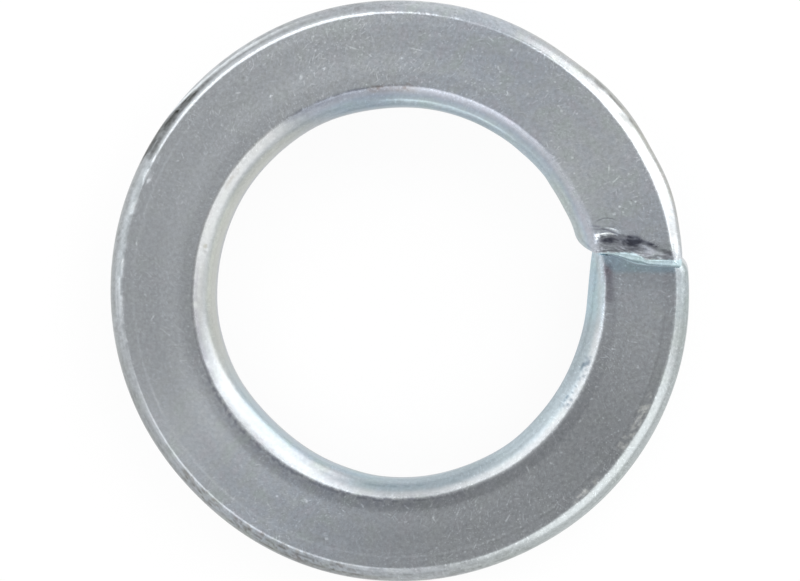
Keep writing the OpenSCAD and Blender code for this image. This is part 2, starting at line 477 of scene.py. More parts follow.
def end_loops(r, z, count):
    """Rings of section points for the face of a sheared end, each drawn in further towards its middle.

    The last one leaves a small face there.
    """
    middle_r, middle_z = (r.max() + r.min()) / 2, (z.max() + z.min()) / 2
    k = 1 - (np.arange(1, count + 1) / (count + 0.6))[:, None]
    return middle_r + (r[None, :] - middle_r) * k, middle_z + (z[None, :] - middle_z) * k


def grid_faces(rows, columns):
    """Quads over a grid of rows of points whose columns close on themselves."""
    i = np.arange(rows - 1)[:, None] * columns
    j = np.arange(columns)[None, :]
    k = (j + 1) % columns
    return np.stack([i + j, i + k, i + columns + k, i + columns + j], axis=-1).reshape(-1, 4)


def along_and_round(s, r, z):
    """Each point's place on the bar's skin in mm: the distance along the bar, and that round its section.

    The second runs out from the top flat's bore edge to the middle of the underside, and back as negative.
    """
    step = np.hypot(np.diff(r, axis=1, append=r[:, :1]), np.diff(z, axis=1, append=z[:, :1]))
    round_it = np.concatenate([np.zeros((len(r), 1)), np.cumsum(step, axis=1)[:, :-1]], axis=1)
    under = np.argmin(np.abs(round_it[0] - step[0].sum() / 2))
    round_it[:, under:] -= step.sum(axis=1, keepdims=True)
    return np.stack([s + 0 * r, round_it, 0 * r], axis=-1)


def coil_mesh(coil):
    """Vertices in metres, quads and end polygons of the washer, and its vertex values by name.

    The values are tone and metal from plating(), skin from along_and_round(), and cut: 1 on the sheared
    faces, and the distance in mm up or down from where the blade entered.
    """
    s, r, z, points = coil_surface(coil)
    skin = along_and_round(s, r, z)
    tone, metal = plating(coil, s, r, z, points, skin[..., 1])
    depth = np.arange(1, END_LOOPS + 1)[:, None, None]
    faces = []
    for row, end_s, blade_z, outward in ((0, 0.0, coil.t, -1), (-1, coil.length, 0.0, 1)):
        ring_r, ring_z = end_loops(r[row], z[row], END_LOOPS)
        face = {
            "points": place(coil, ring_r, ring_z, np.full((END_LOOPS, 1), end_s)),
            "tone": 1 + (tone[row] - 1) * (1 - depth / END_LOOPS) ** 2,
            "metal": np.array(CUT_METAL) + 0 * tone[row] * depth,
            "skin": skin[row] + LOOP_STEP * outward * depth * np.array((1.0, 0.0, 0.0)),
            "cut": np.stack([1 + 0 * ring_z, np.abs(blade_z - ring_z), 0 * ring_z], axis=-1),
        }
        faces.append({name: value[::outward] for name, value in face.items()})
    body = {"points": points, "tone": tone, "metal": metal, "skin": skin, "cut": 0 * points}
    values = {name: np.concatenate([faces[0][name], body[name], faces[1][name]]) for name in body}
    points = values.pop("points")
    rows, columns = points.shape[:2]
    quads = grid_faces(rows, columns)
    caps = [list(range(columns - 1, -1, -1)), list(range((rows - 1) * columns, rows * columns))]
    values = {name: value.reshape(-1, 3) for name, value in values.items()}
    return points.reshape(-1, 3) * MM, quads, caps, values


def mesh_object(name, points, quads, caps=()):
    """A smooth-shaded object at the origin from arrays of points and quads."""
    mesh = bpy.data.meshes.new(name)
    mesh.from_pydata(points.tolist(), [], quads.tolist() + [list(c) for c in caps])
    mesh.polygons.foreach_set("use_smooth", np.ones(len(mesh.polygons), dtype=bool))
    mesh.update()
    obj = bpy.data.objects.new(name, mesh)
    bpy.context.scene.collection.objects.link(obj)
    return obj


# ---------------------------------------------------------------- the plating's tone

BRIGHTEST = 1.62  # what the zinc's colour can be multiplied by and still be less than white

# Bells round the turn: amount, centre and width in degrees. How much lighter the flat is, a painted
# reflection that makes it lighter and darker round the turn; how blue, how many dings and strokes it has, and
# how much its film shows
FLAT_PAINTED_SHEEN = [
    (0.15, 30, 18), (0.07, 352, 16), (-0.09, 324, 16), (-0.05, 138, 18), (-0.09, 184, 24), (0.18, 214, 12),
    (0.09, 237, 12), (-0.065, 274, 20),
]
BLUE = [(1.0, 66, 20), (1.0, 246, 22), (0.8, 12, 14)]
WEAR = [(0.20, 92, 24), (-0.42, 163, 24), (-0.62, 212, 20), (0.45, 318, 34)]
FILM = [(0.75, 65, 40), (0.75, 238, 30), (0.4, 10, 20)]

# Marks along the bar: stains and wear, and painted highlights and painted shade. Each lies from low to high,
# in mm out from the flat's edge at the bore or rim, and over an arc in degrees, both with soft ends. It
# follows a pattern, and its last value multiplies the zinc's colour.
BAND_MARKS_AND_PAINTED_LIGHT = [
    # painted shade on the rolled margins of the flat, which tilt away from its middle, and a painted
    # highlight on the line between
    ("rim", (-0.70, 0.05), 0.05, (115, 400), 40, "even", (0.91, 0.91, 0.91)),
    ("rim", (-0.75, -0.67), 0.05, (120, 352), 14, "drawn", (1.13, 1.13, 1.13)),
    ("rim", (-0.67, -0.58), 0.05, (276, 356), 10, "even", (0.87, 0.87, 0.87)),
    ("bore", (-0.05, 0.70), 0.05, (218, 400), 34, "even", (0.90, 0.90, 0.91)),
    ("bore", (-0.05, 0.66), 0.08, (272, 364), 24, "even", (0.91, 0.91, 0.91)),
    # bruises along the bore's edge, where the coil was pressed
    ("bore", (-0.12, 0.12), 0.10, (204, 280), 12, "bruised", (0.68, 0.68, 0.72)),
    ("bore", (0.05, 0.42), 0.15, (198, 300), 20, "bruised", (0.86, 0.86, 0.88)),
    # the drawn rim: streaks and freckles, a brown tarnish, darker bands, and light lines along its edge that
    # are in part burnished and in part painted highlight
    ("rim", (0.10, 2.0), 0.08, (195, 290), 20, "drawn", (0.80, 0.80, 0.79)),
    ("rim", (0.22, 2.0), 0.10, (62, 300), 16, "freckled", (0.78, 0.78, 0.77)),
    ("rim", (0.40, 2.0), 0.15, (178, 300), 20, "even", (0.86, 0.86, 0.85)),
    ("rim", (0.0, 2.0), 0.10, (186, 262), 14, "even", (0.88, 0.88, 0.875)),
    ("rim", (-0.05, 0.60), 0.12, (219, 262), 3, "freckled", (0.74, 0.70, 0.66)),
    ("rim", (0.46, 2.0), 0.34, (292, 372), 10, "drawn", (0.82, 0.83, 0.82)),
    ("rim", (-0.02, 2.0), 0.10, (284, 356), 12, "even", (0.985, 1.0, 0.97)),
    ("rim", (-0.05, 0.32), 0.10, (152, 180), 6, "mottled", (1.10, 1.10, 1.10)),
    ("rim", (-0.05, 0.32), 0.10, (152, 180), 6, "even", (1.08, 1.10, 1.10)),
    ("rim", (0.40, 2.0), 0.10, (152, 184), 6, "even", (0.80, 0.80, 0.79)),
    ("rim", (-0.14, 0.10), 0.06, (152, 184), 6, "mottled", (1.25, 1.25, 1.25)),
    ("rim", (0.18, 2.0), 0.10, (90, 118), 8, "even", (0.83, 0.83, 0.83)),
    ("rim", (-0.04, 0.22), 0.05, (92, 150), 12, "even", (1.25, 1.25, 1.25)),
    ("rim", (-0.10, 0.04), 0.05, (76, 97), 4, "scuffed", (1.60, 1.60, 1.60)),
    ("rim", (0.30, 0.66), 0.12, (34, 48), 6, "mottled", (0.62, 0.62, 0.61)),
    ("rim", (0.0, 2.0), 0.10, (354, 400), 6, "even", (0.95, 0.985, 0.965)),
    ("rim", (0.0, 2.0), 0.10, (8, 64), 10, "even", (1.03, 1.0, 0.95)),
    # painted highlight on the rim where the high end draws in away from the light
    ("rim", (-0.02, 0.42), 0.08, (5.5, 10.5), 3, "even", (1.45, 1.45, 1.45)),
    ("rim", (0.46, 2.0), 0.10, (225, 268), 10, "drawn", (0.92, 0.90, 0.87)),
    ("rim", (0.56, 2.0), 0.10, (12, 62), 10, "drawn", (0.92, 0.90, 0.86)),
    ("rim", (-0.02, 0.16), 0.06, (158, 292), 8, "mottled", (1.24, 1.24, 1.24)),
    ("rim", (-0.05, 0.14), 0.06, (138, 160), 3, "mottled", (1.25, 1.25, 1.25)),
    ("rim", (0.16, 0.24), 0.05, (236, 262), 6, "bruised", (0.62, 0.60, 0.58)),
    # brown stains and dark scuffs, and painted shade that dims the light line where the bore's shoulder
    # begins
    ("bore", (-0.30, 0.02), 0.15, (84, 97), 4, "even", (0.96, 0.92, 0.88)),
    ("bore", (-0.28, 0.12), 0.20, (84, 97), 4, "freckled", (0.70, 0.62, 0.56)),
    ("bore", (-0.26, 0.03), 0.08, (86, 122), 6, "even", (0.84, 0.84, 0.86)),
    ("bore", (-0.10, 0.03), 0.06, (42, 88), 8, "even", (0.85, 0.85, 0.86)),
    ("bore", (-0.30, 0.03), 0.10, (172, 206), 8, "mottled", (0.84, 0.83, 0.86)),
    ("bore", (-0.04, 0.09), 0.06, (94, 121), 5, "mottled", (0.72, 0.72, 0.74)),
    ("bore", (-0.32, -0.14), 0.08, (142, 149), 3, "mottled", (0.80, 0.76, 0.71)),
    ("bore", (-0.48, -0.32), 0.06, (165.8, 167.0), 0.5, "even", (0.74, 0.72, 0.66)),
    ("bore", (-0.64, -0.18), 0.12, (325, 343), 4, "scuffed", (0.48, 0.53, 0.58)),
    # the bore's shoulder: film that is lavender or cream, cool metal below, and bands of painted highlight
    # and painted shade
    ("bore", (-0.55, 0.02), 0.15, (0, 118), 10, "even", (1.0, 1.0, 1.05)),
    ("bore", (-0.55, 0.02), 0.15, (124, 190), 16, "even", (1.02, 1.0, 0.97)),
    ("bore", (-9, -0.70), 0.3, (118, 206), 30, "even", (1.04, 1.02, 0.93)),
    ("bore", (-9, -0.45), 0.3, (0, 112), 14, "even", (0.91, 1.0, 1.04)),
    ("bore", (-9, -0.65), 0.3, (4, 34), 10, "even", (1.08, 1.03, 0.97)),
    ("bore", (-0.90, -0.55), 0.2, (150, 184), 10, "even", (1.18, 1.18, 1.16)),
    ("bore", (-1.05, -0.62), 0.15, (212, 246), 8, "even", (0.86, 0.87, 0.88)),
    ("bore", (-1.15, -0.72), 0.2, (300, 332), 10, "even", (1.20, 1.20, 1.20)),
    ("bore", (-9, -1.0), 0.15, (205, 262), 20, "even", (0.91, 1.0, 1.04)),
    ("bore", (-9, -0.45), 0.3, (255, 400), 16, "even", (0.91, 1.0, 1.04)),
    ("bore", (-9, -0.92), 0.1, (56, 128), 20, "even", (0.80, 0.82, 0.84)),
    ("bore", (-0.70, -0.36), 0.15, (22, 100), 12, "even", (0.88, 0.88, 0.89)),
    ("bore", (-1.1, 0.05), 0.2, (90, 122), 12, "even", (0.82, 0.84, 0.87)),
    # painted highlights: a broad one and thin light lines along the bore's shoulder
    ("bore", (-0.36, -0.05), 0.2, (46, 82), 14, "even", (1.15, 1.15, 1.17)),
    ("bore", (-0.84, -0.74), 0.05, (54, 92), 12, "even", (1.60, 1.60, 1.58)),
    ("bore", (-0.66, -0.61), 0.04, (58, 90), 10, "drawn", (1.30, 1.30, 1.30)),
    ("bore", (-0.75, -0.40), 0.15, (247, 292), 10, "even", (0.84, 0.86, 0.87)),
    ("bore", (-0.71, -0.65), 0.04, (244, 292), 8, "mottled", (0.72, 0.75, 0.77)),
    # scuffs beside the rim
    ("rim", (-0.32, -0.02), 0.1, (310, 317), 2, "scuffed", (1.60, 1.56, 1.48)),
    ("rim", (-0.55, -0.05), 0.1, (325, 338), 2, "scuffed", (1.60, 1.56, 1.48)),
    # painted blue reflection on the low end's bore wall and shoulder, beside the high end, and a painted
    # highlight on that shoulder
    ("bore", (-9, -0.05), 0.1, (352, 400), 8, "even", (1.04, 1.12, 1.14)),
    ("bore", (-0.26, 0.0), 0.08, (348, 400), 8, "even", (1.14, 1.15, 1.20)),
]


def tarnish(angle, off_out, high_up, drawn, fine, small, mark):
    """Marks dark tarnish along the rim, which widens over the second quarter turn and ends short.

    It is striped along the bar, and a painted highlight runs by it as a light line.
    """
    growth = smooth((angle - 126) / 23)
    reach, limit = 0.24 - 0.14 * growth, 0.40 + 0.42 * growth**1.5
    dark = high_up * smooth((angle - 106) / 36) * smooth((151.4 - angle + 2.5 * small + 1.5 * fine) / 2.4)
    striped = (0.55 + 0.7 * drawn) * (0.6 + 0.5 * fine + 0.4 * small)
    mark(window(off_out, reach, limit, 0.12) * dark * striped, (0.33, 0.33, 0.32))
    # painted highlight: a light line beside the tarnish
    line = window(off_out, limit + 0.02, limit + 0.16, 0.06) * window(angle, 110, 146, 12)
    mark(high_up * line, (1.60, 1.60, 1.58))


# Painted highlights and painted shade of the crumpled flat behind the cut, light strokes on its crests and
# dark ones in its creases, and two painted highlights on its turned edge: x, y, half length and half width in
# mm, direction in degrees, and what they multiply the zinc's colour by
CRUMPLE_PAINTED_LIGHT = [
    (11.38, 3.04, 0.20, 0.10, 80, (2.70, 2.76, 2.84)),
    (11.78, 3.20, 0.30, 0.05, 4, (2.10, 2.14, 2.20)),
    (12.26, 3.20, 0.28, 0.04, -8, (1.85, 1.88, 1.94)),
    (12.33, 3.40, 0.24, 0.045, -32, (1.80, 1.83, 1.88)),
    (12.00, 3.53, 0.26, 0.035, -12, (1.45, 1.47, 1.52)),
    (11.30, 3.64, 0.28, 0.035, -6, (0.55, 0.55, 0.62)),
    (11.78, 3.46, 0.28, 0.045, -12, (0.48, 0.48, 0.55)),
    (12.22, 3.30, 0.26, 0.04, -20, (0.50, 0.50, 0.56)),
    (11.45, 3.45, 0.26, 0.035, -4, (0.60, 0.60, 0.66)),
    (11.70, 3.32, 0.20, 0.035, 8, (0.66, 0.66, 0.72)),
    (14.76, 1.90, 0.12, 0.06, -30, (2.60, 2.70, 2.76)),
    (14.50, 1.94, 0.07, 0.05, 20, (1.45, 1.50, 1.52)),
]

# Dark patches of the torn strip: x, y, half length and half width in mm, direction in degrees, strength
TORN = [
    (12.00, 2.84, 0.52, 0.22, 0, 0.95),
    (12.10, 2.46, 0.55, 0.16, 0, 0.25),
    (12.66, 2.76, 0.24, 0.24, 0, 0.68),
    (13.34, 2.86, 0.52, 0.30, -6, 1.10),
    (13.40, 2.46, 0.62, 0.24, -10, 0.50),
    (14.18, 2.68, 0.60, 0.13, -20, 0.80),
    (15.62, 2.15, 0.36, 0.05, -46, 0.25),
]


def high_end_tone(coil, s, r, z, x, y, mark):
    """Marks the torn strip with its dark patches, the bright turned edge, and painted highlights and painted
    shade over the crumpled flat behind them.

    Gives back how dark the torn strip is, since the metal is rough there.
    """
    flat_in = walls(coil, s)[2]
    high = window(s, -1, NEAR_HIGH, 0.4) * smooth((z - 0.68 * coil.t) / 0.3)
    rough, flecks = cells(y / 0.14, r / 0.25, 31), cells(y / 0.06, r / 0.10, 35)
    ragged = 0.14 * (flecks - 0.5) + 0.12 * (rough - 0.5)
    lip, tear = lip_edge(r) + 0.6 * ragged, tear_edge(r) + ragged
    worn = high * window(y, lip, tear, 0.12) * window(r, 11.7, 15.7, 0.3)
    mark(worn * (0.55 + 0.3 * rough + 0.3 * flecks), (0.50, 0.49, 0.51))
    fibres = smooth((cells(y / 0.45, x / 0.05, 36) - 0.45) / 0.3) * window(x, 12.45, 12.85, 0.15)
    dark = 0
    for at_x, at_y, *shape, strength in TORN:
        dark = dark + strength * np.exp(-(oval(x - at_x, y - at_y, *shape) ** 2))
    strip = high * np.clip(dark * (0.50 + 0.45 * rough + 0.55 * flecks), 0, 1) * (1 - 0.55 * fibres)
    mark(strip, (0.17, 0.17, 0.20))
    mark(high * smooth((lip - y) / 0.06) * (r > flat_in - 0.6), (0.98, 1.14, 1.15))
    # painted shade along the crease of the fold
    mark(high * fold_bell(r, y, 0.03), (0.60, 0.60, 0.64))
    # painted highlights and painted shade of the crumpled flat
    for at_x, at_y, *shape, colour in CRUMPLE_PAINTED_LIGHT:
        mark(high * np.exp(-oval(x - at_x, y - at_y, *shape)), colour)
    return strip


def low_end_tone(coil, s, r, y, mark):
    """Marks where the high end keeps light off the low one: its flat is blue, and its bore's edge dark."""
    flat_in, flat_out = walls(coil, s)[2:]
    low = window(coil.length - s, -1, 3.4, 0.6)
    shadow_y = 1.12 + 0.55 * inner(r, 11.65, 0.6)
    mark(low * smooth((y - shadow_y) / 0.35 + 0.5) * window(r, flat_in, flat_out, 0.1), (0.86, 1.0, 1.06))
    dusk = low * window(r - flat_in, -0.02, 0.42, 0.35) * window(y, -0.6, 1.55, 0.7)
    mark(dusk * (0.6 + 0.6 * cells(y / 0.14, r / 0.25, 31)), (0.66, 0.63, 0.66))
    mark(dusk * window(y, 0.9, 1.5, 0.5), (0.80, 0.74, 0.76))


def plating(coil, s, r, z, points, over):
    """What the zinc's colour is multiplied by at each point, for stains and wear and for painted highlights
    and painted shade, and the state of the metal there.

    Each mark is a mask from 0 to 1, and the colour that the zinc is multiplied by where the mask is 1.
    Patterns run on over the edges by the distance over the section, and marks fade out down the walls.
    The state is the metal's tooth (its roughness), its wear (how many dings and strokes it has) and how much
    its film shows.
    """
    angle = polar(coil, s, points)
    bore, _, flat_in, flat_out = walls(coil, s)
    off_in, off_out = r - flat_in, r - flat_out
    upper = smooth((z - 0.3 * coil.t) / np.where(r > coil.mid_r, 0.4 * coil.t, 0.22 * coil.t))
    on_top = upper * window(off_in, 0, 9, 0.1)
    fine, small = cells(s / 0.11, over / 0.11, 41), cells(s / 0.45, over / 0.25, 42)
    drawn = cells(s / 1.6, over / 0.08, 43)
    patterns = {
        "even": np.ones(r.shape),
        "mottled": smooth((small - 0.30) / 0.3) * (0.75 + 0.5 * fine),
        "drawn": 0.3 + drawn,
        "freckled": smooth((cells(s / 0.17, over / 0.12, 45) - 0.5) / 0.3) * (0.4 + 0.8 * drawn),
        "bruised": smooth((cells(s / 0.24, over / 0.12, 44) + 0.5 * fine - 0.62) / 0.25),
        "scuffed": smooth((cells(s / 0.22, over / 0.07, 46) + 0.4 * fine - 0.66) / 0.25),
    }
    tone = np.ones(r.shape + (3,))

    def mark(mask, colour):
        tone[:] *= 1 + (mask * upper)[..., None] * (np.array(colour) - 1)

    # painted reflection that makes the flats lighter and darker round the turn, and where the film is bluer
    tone *= 1 + (turn_sum(angle, FLAT_PAINTED_SHEEN) * on_top * window(off_out, -9, 0, 0.1))[..., None]
    tone *= 1 + ((0.4 + turn_sum(angle, BLUE)) * on_top)[..., None] * (np.array((0.985, 1.0, 1.03)) - 1)
    for edge, (low, high), soft, (start, end), turn_soft, pattern, colour in BAND_MARKS_AND_PAINTED_LIGHT:
        off = off_in if edge == "bore" else off_out
        mark(window(off, low, high, soft) * window(angle, start, end, turn_soft) * patterns[pattern], colour)
    high_up = smooth((z - 0.60 * coil.t) / (0.16 * coil.t))
    tarnish(angle, off_out, high_up, drawn, fine, small, mark)
    strip = high_end_tone(coil, s, r, z, points[..., 0], points[..., 1], mark)
    low_end_tone(coil, s, r, points[..., 1], mark)

    tooth = 0.20 + 0.10 * smooth(-off_in / 0.3) + 0.18 * smooth((bore + 0.4 - r) / 0.4)
    tooth += 0.05 * smooth(off_out / 0.2) + 0.25 * strip
    wear = np.clip(1 + turn_sum(angle, WEAR), 0, 1.5)
    wear *= (1 - 0.5 * smooth(-off_in / 0.2)) * (1 - 0.45 * smooth(off_out / 0.15))
    film = np.clip(0.25 + turn_sum(angle, FILM), 0, 1)
    return np.minimum(tone, BRIGHTEST), np.stack([tooth, wear, film], axis=-1)


# ---------------------------------------------------------------- materials

MULTIPLY = {"operation": "MULTIPLY"}
ADD = {"operation": "ADD"}
MAXIMUM = {"operation": "MAXIMUM"}


def node(tree, kind, settings=None, **links):
    """Adds one node: settings go to its properties or sockets, and links are nodes or sockets to wire in.

    A link is named for its socket, or by its place as _0 or _1. A node that is linked gives its first output.
    """
    new = tree.nodes.new(kind)
    for key, value in (settings or {}).items():
        if isinstance(key, int) or key in new.inputs:
            new.inputs[key].default_value = value
        else:
            setattr(new, key, value)
    for key, source in links.items():
        target = int(key[1:]) if key[0] == "_" else key.replace("_", " ")
        tree.links.new(getattr(source, "outputs", [source])[0], new.inputs[target])
    return new


def empty_tree(owner):
    """The cleared node tree of a material or a world."""
    owner.use_nodes = True
    owner.node_tree.nodes.clear()
    return owner.node_tree


def set_stops(ramp, stops):
    """Gives a colour ramp its stops, each a position and a colour."""
    for position, _ in stops[1:-1]:
        ramp.elements.new(position)
    for element, (position, colour) in zip(ramp.elements, stops):
        element.position = position
        element.color = colour


def from_to(low, high, to_low=0.0, to_high=1.0):
    """Settings of a Map Range node: low..high becomes to_low..to_high, held at both ends."""
    return {"From Min": low, "From Max": high, "To Min": to_low, "To Max": to_high}


def per_mm(size):
    """Texture scale on Object coordinates, in metres, at which one feature is size millimetres."""
    return 1 / (size * MM)


def strongest(tree, layers):
    """The largest of the layers at each point."""
    most = layers[0]
    for layer in layers[1:]:
        most = node(tree, "ShaderNodeMath", MAXIMUM, _0=most, _1=layer)
    return most


# Bright nicks and scratches on the upper flat: x, y, half length and half width in mm, direction in degrees
SCRATCHES = [
    # behind the cut
    (12.3, 4.3, 0.14, 0.11, 20),
    (12.6, 4.7, 0.10, 0.09, 70),
    (12.8, 4.4, 0.09, 0.08, 0),
    (12.2, 5.1, 0.13, 0.07, 0),
    (13.5, 5.0, 0.08, 0.07, 0),
    (12.4, 6.2, 0.40, 0.05, 45),
    (12.0, 6.8, 0.34, 0.04, 85),
    # over the first quarter turn
    (10.0, 7.4, 0.10, 0.09, 0),
    (9.4, 10.0, 0.10, 0.09, 0),
    (11.1, 10.6, 0.16, 0.07, 130),
    (6.4, 11.0, 0.22, 0.06, 100),
    (6.3, 10.9, 0.12, 0.10, 20),
    (5.9, 12.4, 0.22, 0.07, 100),
    (6.0, 12.2, 0.10, 0.09, 0),
    (6.6, 13.4, 0.10, 0.09, 0),
    (2.0, 12.7, 0.11, 0.09, 0),
    (0.5, 13.0, 0.10, 0.08, 0),
    (1.3, 13.5, 0.42, 0.05, 165),
    # over the second
    (-1.3, 13.2, 0.26, 0.05, 140),
    (-2.2, 13.6, 0.46, 0.05, 160),
    (-3.9, 12.5, 0.10, 0.07, 0),
    (-4.6, 12.4, 0.10, 0.07, 0),
    (-5.2, 12.0, 0.16, 0.11, 60),
    (-6.9, 11.0, 0.16, 0.09, 30),
    (-8.8, 11.2, 0.22, 0.05, 10),
    (-12.0, 7.7, 0.25, 0.04, 110),
    (-12.3, 7.4, 0.12, 0.05, 20),
    (-12.7, 6.8, 0.14, 0.06, 115),
    (-14.7, 2.9, 0.38, 0.06, 85),
    # over the third
    (-13.8, -1.4, 0.26, 0.07, 55),
    (-6.8, -11.5, 0.10, 0.09, 0),
    (-5.1, -11.8, 0.12, 0.11, 0),
    (-4.0, -13.9, 0.14, 0.10, 0),
    (-2.0, -12.0, 0.25, 0.05, 125),
    # over the last, with a zigzag at its start
    (0.5, -12.1, 0.27, 0.05, 140),
    (1.2, -12.2, 0.45, 0.05, 5),
    (1.9, -12.0, 0.24, 0.05, 55),
    (2.0, -12.7, 0.34, 0.05, 120),
    (3.4, -12.4, 0.28, 0.05, 60),
    (6.2, -12.7, 0.42, 0.05, 60),
    (7.3, -9.9, 0.28, 0.05, 115),
    (8.6, -9.6, 0.14, 0.06, 165),
    (9.2, -9.0, 0.10, 0.07, 40),
    (10.3, -7.2, 0.24, 0.07, 40),
    (10.9, -6.0, 0.18, 0.06, 10),
    (11.2, -5.3, 0.16, 0.06, 10),
    (12.1, -3.2, 0.14, 0.05, 0),
    (13.3, -2.8, 0.23, 0.04, 175),
    (13.5, -4.2, 0.14, 0.07, 80),
]

# Light dings and dark pits from tumbling: pitch of their cells and radius in mm, and the share of cells used
DINGS = [(0.50, 0.075, 0.6), (0.26, 0.045, 0.6), (0.17, 0.036, 0.4)]
PITS = (0.33, 0.05, 0.5)

# Fine strokes: directions over the bar's skin in degrees, then half length, half width in mm and that share
STROKE_DIRECTIONS = (66, 84, 103, 121, 148, 22)
STROKE = (0.26, 0.034, 0.45)


def scratch_marks(tree, position):
    """Every scratch as a thin ellipse, 1 along its middle and 0 at its edge."""
    marks = []
    for x, y, half_long, half_wide, direction in SCRATCHES:
        on_mark = node(tree, "ShaderNodeMapping", {
            "vector_type": "TEXTURE",
            "Location": (x * MM, y * MM, 0),
            "Rotation": (0, 0, math.radians(direction)),
            "Scale": (half_long * MM, half_wide * MM, 1),
        }, Vector=position)
        mark = node(tree, "ShaderNodeTexGradient", {"gradient_type": "SPHERICAL"}, Vector=on_mark)
        marks.append(mark.outputs["Fac"])
    return strongest(tree, marks)


def specks(tree, vector, pitch, radius, share):
    """Round spots, one to a cell of that pitch: a share of the cells has one, each of its own strength."""
    cell = node(tree, "ShaderNodeTexVoronoi", {"voronoi_dimensions": "2D", "Scale": 1 / pitch}, Vector=vector)
    chance = node(tree, "ShaderNodeSeparateColor", None, Color=cell.outputs["Color"])
    chosen = node(tree, "ShaderNodeMapRange", from_to(1 - share, 1.0), Value=chance)
    spot = from_to(0.4 * radius / pitch, radius / pitch, 1.0, 0.0)
    spots = node(tree, "ShaderNodeMapRange", spot, Value=cell.outputs["Distance"])
    return node(tree, "ShaderNodeMath", MULTIPLY, _0=spots, _1=chosen)


def strokes(tree, vector, direction, half_long, half_wide, share):
    """Short straight strokes in one direction: specks drawn out into thin ellipses.

    Each direction's pattern is also moved along, so that no two have their strokes in the same cells.
    """
    radius = 0.1
    stretched = node(tree, "ShaderNodeMapping", {
        "vector_type": "TEXTURE",
        "Location": (direction, 0, 0),
        "Rotation": (0, 0, math.radians(direction)),
        "Scale": (half_long / radius, half_wide / radius, 1),
    }, Vector=vector)
    return specks(tree, stretched, 1.0, radius, share)


def sheared_face(tree, position, from_blade):
    """Brightness and height of a sheared face: drag lines where the blade entered, and then torn grain."""
    upright = node(tree, "ShaderNodeMapping", {"Scale": (1.0, 1.0, 0.05)}, Vector=position)
    drag = node(tree, "ShaderNodeTexNoise", {"Scale": per_mm(0.18), "Detail": 2.0}, Vector=upright)
    grain = {"Scale": per_mm(0.45), "Detail": 4.0, "Roughness": 0.65}
    torn = node(tree, "ShaderNodeTexNoise", grain, Vector=position)
    reach = node(tree, "ShaderNodeMath", {"operation": "MULTIPLY_ADD", 1: 1.6}, _0=torn, _2=from_blade)
    past = node(tree, "ShaderNodeMapRange", from_to(2.2, 2.6), Value=reach)
    brightness = from_to(0.3, 0.7, 0.84, 1.10), from_to(0.3, 0.7, 0.55, 0.95)
    height = from_to(0.0, 1.0, 0.0, 1.5), from_to(0.0, 1.0, 0.0, 9.0)
    both = []
    for of_drag, of_torn in (brightness, height):
        smeared = node(tree, "ShaderNodeMapRange", of_drag, Value=drag)
        broken = node(tree, "ShaderNodeMapRange", of_torn, Value=torn)
        both.append(node(tree, "ShaderNodeMix", {"data_type": "FLOAT"}, _0=past, _2=smeared, _3=broken))
    return both


def film_colour(tree, finish, position, film):
    """The zinc's colour, with faint patches of green, blue and rose where its film shows."""
    hue = node(tree, "ShaderNodeTexNoise", {"Scale": per_mm(1.1), "Detail": 2.0}, Vector=position)
    tinted = node(tree, "ShaderNodeValToRGB", None, Fac=hue)
    stops = [(0.32, finish.green), (0.45, finish.zinc), (0.55, finish.blue), (0.68, finish.rose)]
    set_stops(tinted.color_ramp, stops)
    mix = node(tree, "ShaderNodeMix", {"data_type": "RGBA", 6: finish.zinc}, _0=film, _7=tinted)
    return mix.outputs[2]


def tumbled_light(tree, position, skin, grain, wear):
    """How light the plating is, and where its scratches are.

    The grain mottles it. Light dings and strokes and dark pits come in patches, with more where wear is more.
    """
    mottle = node(tree, "ShaderNodeMapRange", from_to(0.3, 0.7, -1.0, 1.0), Value=grain)
    contrast = node(tree, "ShaderNodeMapRange", from_to(0.0, 1.5, 0.05, 0.16), Value=wear)
    light = node(tree, "ShaderNodeMath", {"operation": "MULTIPLY_ADD", 2: 1.0}, _0=mottle, _1=contrast)
    where = node(tree, "ShaderNodeTexNoise", {"Scale": per_mm(2.6), "Detail": 2.0}, Vector=position)
    patches = node(tree, "ShaderNodeMapRange", from_to(0.38, 0.60, 0.4, 1.0), Value=where)
    crowd = node(tree, "ShaderNodeMath", MULTIPLY, _0=patches, _1=wear)
    dings = strongest(tree, [specks(tree, skin, *ding) for ding in DINGS])
    lines = strongest(tree, [strokes(tree, skin, direction, *STROKE) for direction in STROKE_DIRECTIONS])
    pits = specks(tree, skin, *PITS)
    broken = node(tree, "ShaderNodeMapRange", from_to(0.38, 0.52, 0.25, 1.0), Value=grain)
    scratches = node(tree, "ShaderNodeMapRange", from_to(0.0, 0.6), Value=scratch_marks(tree, position))
    scratches = node(tree, "ShaderNodeMath", MULTIPLY, _0=scratches, _1=broken)
    crowded = [node(tree, "ShaderNodeMath", MULTIPLY, _0=marks, _1=crowd) for marks in (dings, lines, pits)]
    for marks, gain in zip((*crowded, scratches), (0.44, 0.38, -0.22, 0.36)):
        light = node(tree, "ShaderNodeMath", {"operation": "MULTIPLY_ADD", 1: gain}, _0=marks, _2=light)
    return light, scratches


